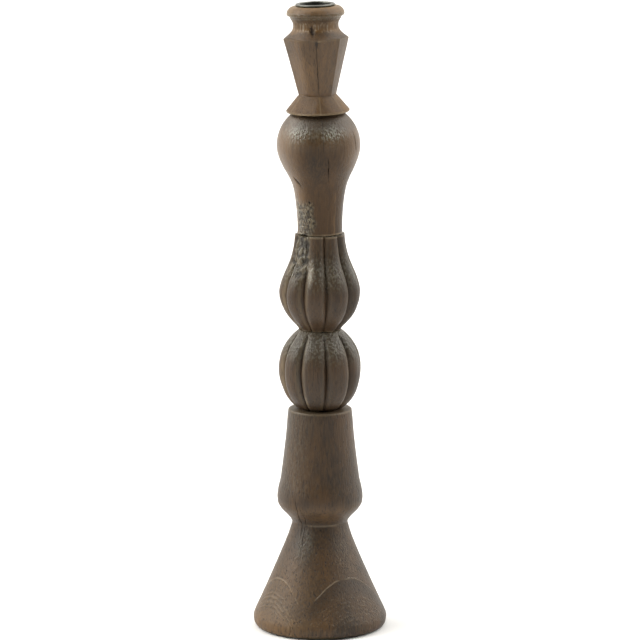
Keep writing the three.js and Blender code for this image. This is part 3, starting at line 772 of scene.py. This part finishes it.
def cup_skin(finish):
    """The pressed cup: a drawn floor, a straight wall and a rim rolled out over the wood."""
    points, _, place = stood_upright("candle_cup", SOCKET_LEAN)
    radii = np.hypot(points[:, 0], points[:, 1])
    top = points[:, 2].max()
    rim = radii.max()
    outer = radii[points[:, 2] < top - 2 * CUP_RIM_HEIGHT].max()
    inner = outer - CUP_WALL
    roll = CUP_RIM_HEIGHT / 2
    under_rim = top - CUP_RIM_HEIGHT
    bend = np.linspace(-90, 90, BEND_POINTS)[:, None] * DEG
    lip = np.hstack([rim - roll + roll * np.cos(bend), top - roll + roll * np.sin(bend)])
    drawn = np.linspace(0, 90, BEND_POINTS)[:, None] * DEG
    heel = np.hstack([inner + CUP_WALL * np.sin(drawn), CUP_WALL - CUP_WALL * np.cos(drawn)])
    mouth = np.hstack([inner + roll - roll * np.sin(drawn), top - roll + roll * np.cos(drawn)])
    rows = CUP_WALL_ROWS
    outside = np.hstack([outer + 0 * rows, CUP_WALL + rows * (under_rim - CUP_WALL)])
    inside = np.hstack([inner + 0 * rows, top - roll - rows * (top - roll - CUP_WALL)])
    corner = [(outer, under_rim)]
    underside = [(inner * 0.5, 0)]
    floor = [(inner, CUP_WALL), (inner * 0.9, CUP_WALL), (inner * 0.5, CUP_WALL)]
    section = np.concatenate([underside, heel, outside, corner, lip, mouth, inside, floor])
    return Turning("candle_cup", place, section, EVEN_COLUMNS).skin(finish, "darkened_steel")


def pad_skin(finish):
    """The felt disc, with its cut edge pressed round."""
    points, _, place = stood_upright("base_pad", 0)
    radius = np.hypot(points[:, 0], points[:, 1]).max()
    thickness = points[:, 2].max()
    soft = thickness / 4
    drawn = np.linspace(0, 90, PAD_EDGE_POINTS)[:, None] * DEG
    lower = np.hstack([radius - soft + soft * np.sin(drawn), soft - soft * np.cos(drawn)])
    upper = np.hstack([radius - soft + soft * np.cos(drawn), thickness - soft + soft * np.sin(drawn)])
    rings = PAD_RINGS * radius
    under = np.hstack([rings, 0 * rings])
    over = np.hstack([rings[::-1], thickness + 0 * rings])
    section = np.concatenate([under, lower, upper, over])
    piece = Turning("base_pad", place, section, EVEN_COLUMNS).skin(finish, "wool_felt")
    return piece


# Finishes

MIX_SHARE, MIX_FROM, MIX_TO, MIX_RESULT = 0, 6, 7, 2   # places of a Mix node's colour sockets


def linear(code):
    """A colour written as an sRGB hex value, turned to linear."""
    shares = [int(code[i:i + 2], 16) / 255 for i in (1, 3, 5)]
    return [c / 12.92 if c <= 0.04045 else ((c + 0.055) / 1.055) ** 2.4 for c in shares] + [1]


def feed(tree, node, inputs):
    """Sets or links a node's inputs."""
    for key, value in inputs.items():
        if isinstance(value, bpy.types.NodeSocket):
            tree.links.new(value, node.inputs[key])
        else:
            node.inputs[key].default_value = value


def add(tree, kind, inputs, **settings):
    """Adds a node with its settings and inputs."""
    node = tree.nodes.new("ShaderNode" + kind)
    for key, value in settings.items():
        setattr(node, key, value)
    feed(tree, node, inputs)
    return node


def new_finish(name):
    """A material with its tree, its shader and the place of a point on the object."""
    finish = bpy.data.materials.new(name)
    finish.use_nodes = True
    tree = finish.node_tree
    place = add(tree, "TexCoord", {}).outputs["Object"]
    return finish, tree, tree.nodes["Principled BSDF"], place


def grain(tree, place, size, drawn, detail):
    """A pattern of that size, uneven from 0 to 1, drawn out so many times along the grain."""
    along = add(tree, "VectorMath", {0: place, 1: (1, 1, 1 / drawn)}, operation="MULTIPLY").outputs[0]
    return add(tree, "TexNoise", {"Vector": along, "Scale": 1 / size, "Detail": detail}).outputs["Fac"]


def area(tree, *limits):
    """Share of a surface where all the limits hold. A limit is a share, or a value with the level at
    which it starts to count and the level from which it counts in full."""
    total = None
    for limit in limits:
        if isinstance(limit, tuple):
            value, start, whole = limit
            inputs = {"Value": value, "From Min": start, "From Max": whole}
            limit = add(tree, "MapRange", inputs, interpolation_type="SMOOTHSTEP").outputs["Result"]
        if total is not None:
            limit = add(tree, "Math", {0: total, 1: limit}, operation="MULTIPLY").outputs[0]
        total = limit
    return total


# Mango wood
WOOD_MARKS = ("wear_and_painted_highlight", "dirt_and_painted_shade", "thin_stain_and_painted_light", "rough", "figure", "bloom_and_painted_sheen", "polish", "streak", "wax_and_painted_glint")
MANGO_IOR = 1.39                    # open, waxed wood
DARK_STAIN = "#281e14"
FIBRE = 0.9 * MM                    # width of a bundle of fibres
FIBRE_LENGTH = 22                   # bundles this many times longer than wide
PORE = 0.8 * MM                     # real ones are about 0.2 mm, too fine to show
PORE_LENGTH = 9
FLECK = 1.4 * MM                    # broken sheen of the waxed open grain
FLECK_LENGTH = 1.6
CLOUD = 26 * MM                     # patches of deeper and thinner stain
CLOUD_LENGTH = 2.5
BAND = 2.6 * MM                     # darker and lighter bands along the grain
BAND_LENGTH = 14
RELIEF_DEPTH = 0.6 * MM

# Its growth rings
RING = 5.4 * MM                     # between two rings
RING_WOBBLE = 0.9 * MM
RING_WOBBLE_SIZE = 14 * MM
RING_BREAK = 11 * MM                # size of the gaps in the strongest ring
FINE_RINGS = 4                      # faint lines between two rings
FINE_RIPPLE = 4 * MM
FINE_BREAKS = 3 * MM, 7 * MM        # size of the gaps in the fine lines, right and left
ARCH_BLEND = 1 * MM
# The two sides where the foot cuts the rings into arches, right and left: their angle, how far the
# rings' middle lies behind the axis, and how far the ring that shows most lies in front of it
RING_FACES = (35 * DEG, 63 * MM, 34.3 * MM), (-56 * DEG, 400 * MM, 35.3 * MM)


def growth_rings(tree, place, figure):
    """The rings that the foot cuts into arches: the darker wood inside the strongest ring, that ring's
    pale late wood, and fine lines further in."""
    spans = []
    for face, away, strongest in RING_FACES:
        pith = (-away * math.sin(face), away * math.cos(face), 0)
        from_pith = add(tree, "VectorMath", {0: place, 1: pith}, operation="SUBTRACT").outputs[0]
        across = add(tree, "VectorMath", {0: from_pith, 1: (1, 1, 0)}, operation="MULTIPLY").outputs[0]
        reach = add(tree, "VectorMath", {0: across}, operation="LENGTH").outputs["Value"]
        spans.append(add(tree, "Math", {0: reach, 1: away + strongest}, operation="SUBTRACT").outputs[0])
    on_right = add(tree, "Math", {0: spans[0], 1: spans[1]}, operation="SUBTRACT").outputs[0]
    apart = add(tree, "Math", {0: on_right}, operation="ABSOLUTE").outputs[0]
    span = add(tree, "Math", {0: spans[0], 1: spans[1], 2: ARCH_BLEND}, operation="SMOOTH_MAX").outputs[0]
    wobble = grain(tree, place, RING_WOBBLE_SIZE, 3, 2)
    inputs = {0: wobble, 1: 2 * RING_WOBBLE, 2: span}
    span = add(tree, "Math", inputs, operation="MULTIPLY_ADD").outputs[0]
    inputs = {"Value": span, "From Min": RING_WOBBLE, "From Max": RING_WOBBLE + RING}
    count = add(tree, "MapRange", inputs, clamp=False).outputs["Result"]

    figure = area(tree, figure, (apart, 1 * MM, 9 * MM))
    inside = area(tree, figure, (count, -0.05, 0.05))
    early = area(tree, inside, (count, 1.5, 0.2), (on_right, -2 * MM, 6 * MM))
    unbroken = grain(tree, place, RING_BREAK, 1, 1)
    late = area(tree, figure, (count, -0.06, 0.0), (count, 0.08, 0.02), (unbroken, 0.36, 0.56))

    ripple = grain(tree, place, FINE_RIPPLE, 1.5, 3)
    line = add(tree, "Math", {0: count, 1: FINE_RINGS, 2: ripple}, operation="MULTIPLY_ADD").outputs[0]
    line = add(tree, "Math", {0: line}, operation="FRACT").outputs[0]
    fine = area(tree, inside, (line, 0.3, 0.7), (line, 1.0, 0.8), (count, 0.4, 1.1), (count, 4.5, 2.5))
    right_gaps = grain(tree, place, FINE_BREAKS[0], 0.7, 2)
    left_gaps = grain(tree, place, FINE_BREAKS[1], 0.5, 2)
    fine_right = area(tree, fine, (on_right, -4 * MM, 4 * MM), (right_gaps, 0.48, 0.68))
    fine_left = area(tree, fine, (on_right, 4 * MM, -4 * MM), (left_gaps, 0.3, 0.5), (count, 2.0, 1.3))
    fine = add(tree, "Math", {0: fine_right, 1: 0.7, 2: fine_left}, operation="MULTIPLY_ADD").outputs[0]
    return early, late, fine


def stained_mango():
    """Mango wood, turned, stained dark and waxed: dull brown fibres, black in the cuts with dirt and painted
    shade, a broken grey sheen painted where the open grain catches the light, and paler wood where rubbing
    bared the edges, with painted highlights on lit edges."""
    finish, tree, shader, place = new_finish("stained_mango")
    mark = {name: add(tree, "Attribute", {}, attribute_name=name).outputs["Fac"] for name in WOOD_MARKS}
    fibre = grain(tree, place, FIBRE, FIBRE_LENGTH, 3)
    fleck = grain(tree, place, FLECK, FLECK_LENGTH, 2)
    cloud = grain(tree, place, CLOUD, CLOUD_LENGTH, 2)
    band = grain(tree, place, BAND, BAND_LENGTH, 2)
    early, late, fine = growth_rings(tree, place, mark["figure"])
    open_grain_and_painted_sheen = add(tree, "Math", {0: mark["bloom_and_painted_sheen"], 1: mark["rough"]}, operation="MAXIMUM").outputs[0]
    unfilled = add(tree, "Math", {0: mark["polish"], 1: -0.6, 2: 0.7}, operation="MULTIPLY_ADD").outputs[0]
    pore = area(tree, (grain(tree, place, PORE, PORE_LENGTH, 0), 0.66, 0.72), unfilled)

    painted_glints = area(tree, open_grain_and_painted_sheen, (fleck, 0.48, 0.62), mark["wax_and_painted_glint"])
    painted_fibre_glints = area(tree, mark["streak"], (fibre, 0.52, 0.66))
    # Where each tone lies, how strong it is there, and its colour
    tones = (
        (area(tree, (fibre, 0.35, 0.65)), 1.0, "#3d2d1b"),   # paler fibres
        (area(tree, (cloud, 0.35, 0.65)), 0.6, "#4b351d"),   # thinner stain
        (mark["thin_stain_and_painted_light"], 0.6, "#7d5e38"),                      # stain thinned by rubbing, and painted light on lit sides and shaded undersides
        (area(tree, (band, 0.4, 0.62)), 0.25, "#271d14"),    # dark bands
        (early, 0.55, "#241a11"),                            # inside an arch
        (late, 0.35, "#8c7c66"),                             # the strongest ring
        (fine, 0.2, "#8a785e"),                              # fine rings
        (mark["wear_and_painted_highlight"], 0.7, "#877860"),                      # bare, greyed wood, and painted highlights on lit edges
        (open_grain_and_painted_sheen, 0.5, "#413e33"),                        # open grain: a grey waxy film, and painted sheen where it faces up
        (painted_glints, 0.7, "#8c8e80"),                             # painted glints on its high spots
        (painted_fibre_glints, 0.5, "#a89c88"),                            # painted glints along the fibres
        (pore, 1.0, "#1c150d"),                              # open pores
        (mark["dirt_and_painted_shade"], 0.85, "#17110c"),                    # dirt and old stain, and painted shade in cuts, grooves, under ledges and on dim sides
    )
    colour = linear(DARK_STAIN)
    for share, strength, tone in tones:
        amount = add(tree, "Math", {0: share, 1: strength}, operation="MULTIPLY").outputs[0]
        inputs = {MIX_SHARE: amount, MIX_FROM: colour, MIX_TO: linear(tone)}
        colour = add(tree, "Mix", inputs, data_type="RGBA").outputs[MIX_RESULT]

    shine = add(tree, "Math", {0: mark["wax_and_painted_glint"], 1: 0.75, 2: 0.2}, operation="MULTIPLY_ADD").outputs[0]
    dullness = 0.44
    for share, weight in ((open_grain_and_painted_sheen, -0.16), (mark["polish"], -0.12), (mark["dirt_and_painted_shade"], 0.3), (fibre, 0.12)):
        inputs = {0: share, 1: weight, 2: dullness}
        dullness = add(tree, "Math", inputs, operation="MULTIPLY_ADD").outputs[0]

    broken = add(tree, "Math", {0: open_grain_and_painted_sheen, 1: 1.3, 2: 0.15}, operation="MULTIPLY_ADD").outputs[0]
    raised = ((fleck, broken), (fibre, 0.4), (pore, -1), (late, 0.3), (fine, 0.4), (mark["rough"], fleck))
    height = 0.0
    for share, weight in raised:
        height = add(tree, "Math", {0: share, 1: weight, 2: height}, operation="MULTIPLY_ADD").outputs[0]
    relief = add(tree, "Bump", {"Height": height, "Strength": 1.0, "Distance": RELIEF_DEPTH})
    feed(tree, shader, {
        "Base Color": colour,
        "IOR": MANGO_IOR,
        "Specular IOR Level": shine,
        "Roughness": dullness,
        "Normal": relief.outputs["Normal"],
    })
    return finish


# The plainer finishes
BEECH_FLECK = 0.8 * MM
BEECH_FLECK_LENGTH = 10
BEECH_RELIEF = 0.1 * MM
STEEL_STAIN = 3 * MM
STEEL_SCRATCH = 0.5 * MM            # coarser than real ones, so that it shows
STEEL_SCRATCH_LENGTH = 20 / 3
STEEL_RELIEF = 0.05 * MM
FELT_HAIR = 0.7 * MM                # tufts of hair, as single hairs are too fine to show
FELT_RELIEF = 0.2 * MM


def planed_beech():
    """Plain beech dowel, sawn and planed: pale, even wood with fine brown flecks along the grain."""
    finish, tree, shader, place = new_finish("planed_beech")
    flecks = grain(tree, place, BEECH_FLECK, BEECH_FLECK_LENGTH, 3)
    tones = {MIX_SHARE: flecks, MIX_FROM: linear("#a98258"), MIX_TO: linear("#cfae82")}
    colour = add(tree, "Mix", tones, data_type="RGBA").outputs[MIX_RESULT]
    relief = add(tree, "Bump", {"Height": flecks, "Strength": 0.3, "Distance": BEECH_RELIEF})
    feed(tree, shader, {"Base Color": colour, "Roughness": 0.6, "Normal": relief.outputs["Normal"]})
    return finish


def darkened_steel():
    """Sheet steel, pressed and darkened: a dull grey-black metal with cloudy stains and fine scratches."""
    finish, tree, shader, place = new_finish("darkened_steel")
    stain = grain(tree, place, STEEL_STAIN, 1, 4)
    scratches = grain(tree, place, STEEL_SCRATCH, STEEL_SCRATCH_LENGTH, 2)
    tones = {MIX_SHARE: stain, MIX_FROM: linear("#484844"), MIX_TO: linear("#74746e")}
    colour = add(tree, "Mix", tones, data_type="RGBA").outputs[MIX_RESULT]
    dullness = add(tree, "Math", {0: stain, 1: 0.2, 2: 0.3}, operation="MULTIPLY_ADD").outputs[0]
    relief = add(tree, "Bump", {"Height": scratches, "Strength": 0.2, "Distance": STEEL_RELIEF})
    feed(tree, shader, {
        "Base Color": colour,
        "Metallic": 1,
        "Roughness": dullness,
        "Normal": relief.outputs["Normal"],
    })
    return finish


def pressed_felt():
    """Wool felt, pressed: matt, dark and hairy, with no gloss."""
    finish, tree, shader, place = new_finish("pressed_felt")
    hair = grain(tree, place, FELT_HAIR, 1, 5)
    tones = {MIX_SHARE: hair, MIX_FROM: linear("#1f241f"), MIX_TO: linear("#3d453d")}
    colour = add(tree, "Mix", tones, data_type="RGBA").outputs[MIX_RESULT]
    relief = add(tree, "Bump", {"Height": hair, "Strength": 0.6, "Distance": FELT_RELIEF})
    feed(tree, shader, {"Base Color": colour, "Roughness": 0.95, "Normal": relief.outputs["Normal"]})
    return finish


# The studio

FLOOR_SIZE = 180.0
CAMERA_PLACE = (0, -2.93, 0.8116)
CAMERA_PITCH = 11.25 * DEG          # below level
CAMERA_LENS = 230.7
DARK_SIDE = (0.14, -0.99, 0)        # the room behind the camera is unlit
DARK_EDGE = 0.5, -0.15              # cosines of the angle from there, where the light starts and is whole
FRONT_GLOW = 0.02
BACK_GLOW = 1.25
LIGHT_COLOUR = "#fffdf8"
# Broad lamps: direction, cosines of the angles from it where the light starts and is whole, and glow
LAMPS = (
    ((-0.74, 0.02, 0.67), 0.80, 0.95, 4.2),
    ((-0.84, -0.17, 0.52), 0.955, 0.985, 4.0),
    ((0.73, 0.16, 0.66), 0.80, 0.95, 3.1),
    ((0.70, -0.35, 0.62), 0.955, 0.985, 3.0),
    ((0.0, 0.1, 0.995), 0.70, 0.95, 0.6),
)


def pale_floor():
    """A plain floor, painted matt and so bright that it runs into the white behind it."""
    half = FLOOR_SIZE / 2
    mesh = bpy.data.meshes.new("floor")
    corners = [(-half, -half, 0), (half, -half, 0), (half, half, 0), (-half, half, 0)]
    mesh.from_pydata(corners, [], [(0, 1, 2, 3)])
    finish, tree, shader, _ = new_finish("pale_floor")
    feed(tree, shader, {"Base Color": linear("#dedede"), "Roughness": 0.9, "Specular IOR Level": 0.2})
    mesh.materials.append(finish)
    floor = bpy.data.objects.new("floor", mesh)
    bpy.context.scene.collection.objects.link(floor)


def studio():
    """White light all round but from the camera's side, with two strong lamps on the left, two weaker
    ones on the right and a faint one overhead."""
    world = bpy.data.worlds.new("studio")
    world.use_nodes = True
    bpy.context.scene.world = world
    tree = world.node_tree
    way = add(tree, "TexCoord", {}).outputs["Generated"]
    lights = [(DARK_SIDE, *DARK_EDGE, BACK_GLOW - FRONT_GLOW), *LAMPS]
    glow = FRONT_GLOW
    for towards, edge, core, strength in lights:
        near = add(tree, "VectorMath", {0: way, 1: towards}, operation="DOT_PRODUCT").outputs["Value"]
        lit = area(tree, (near, edge, core))
        glow = add(tree, "Math", {0: lit, 1: strength, 2: glow}, operation="MULTIPLY_ADD").outputs[0]
    feed(tree, tree.nodes["Background"], {"Strength": glow, "Color": linear(LIGHT_COLOUR)})


def camera():
    """The photograph's own view, a long lens slightly above the holder."""
    lens = bpy.data.cameras.new("camera")
    lens.lens = CAMERA_LENS
    seen_from = bpy.data.objects.new("camera", lens)
    seen_from.location = CAMERA_PLACE
    seen_from.rotation_euler = (math.pi / 2 - CAMERA_PITCH, 0, 0)
    bpy.context.scene.collection.objects.link(seen_from)
    bpy.context.scene.camera = seen_from


camera()
studio()
pale_floor()
bpy.context.scene.view_settings.view_transform = "Standard"

wood = stained_mango()
for make in (base_skin, melon_skin, gourd_skin, bulb_skin, socket_skin):
    make(wood)
cup_skin(darkened_steel())
pad_skin(pressed_felt())
beech = planed_beech()
for joint in ("base", "waist", "neck", "socket"):
    dowel = frame["nodes"][joint + "_dowel"]
    dowel.data.materials.clear()
    dowel.data.materials.append(beech)
